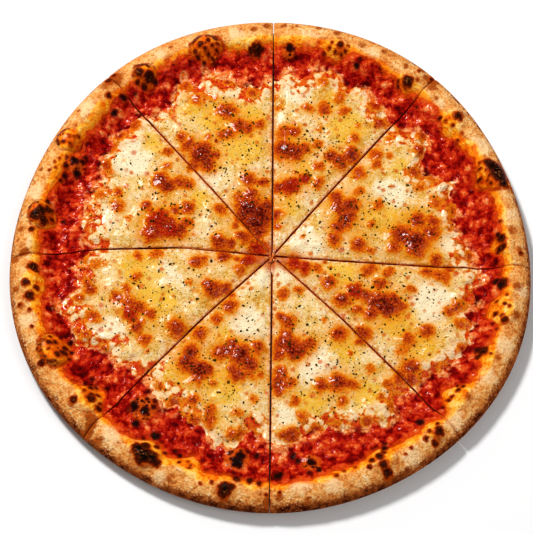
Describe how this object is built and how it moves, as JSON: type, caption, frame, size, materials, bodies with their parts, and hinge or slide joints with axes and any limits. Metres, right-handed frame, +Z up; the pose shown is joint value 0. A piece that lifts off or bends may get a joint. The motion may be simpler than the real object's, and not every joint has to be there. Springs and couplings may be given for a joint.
{
  "type": "margherita pizza",
  "caption": "Round baked pizza with a raised, blistered rim, tomato sauce and browned melted cheese with dried herbs, cut into wedge-shaped slices that lie together.",
  "frame": {"origin": "under the middle of the whole pizza, on the plane that it rests on", "axes": "+Z up, through the pizza's thickness; +X to the right and +Y to the back as the pizza is seen from its front; one cut runs close to +Y and one close to -Y"},
  "size_m": [0.3282, 0.3322, 0.0226],
  "materials": {
    "dough": "baked, dry and floury, browned and charred in spots",
    "sauce": "wet, pulpy tomato sauce",
    "cheese": "melted mozzarella, oily, browned in spots, with flakes of dried herb"
  },
  "bodies": {
    "root": {"dough_1": "dough", "dough_2": "dough", "dough_3": "dough", "dough_4": "dough", "dough_5": "dough", "dough_6": "dough", "dough_7": "dough", "dough_8": "dough", "sauce_1": "sauce", "sauce_2": "sauce", "sauce_3": "sauce", "sauce_4": "sauce", "sauce_5": "sauce", "sauce_6": "sauce", "sauce_7": "sauce", "sauce_8": "sauce", "cheese_1": "cheese", "cheese_2": "cheese", "cheese_3": "cheese", "cheese_4": "cheese", "cheese_5": "cheese", "cheese_6": "cheese", "cheese_7": "cheese", "cheese_8": "cheese"}
  },
  "joints": []
}
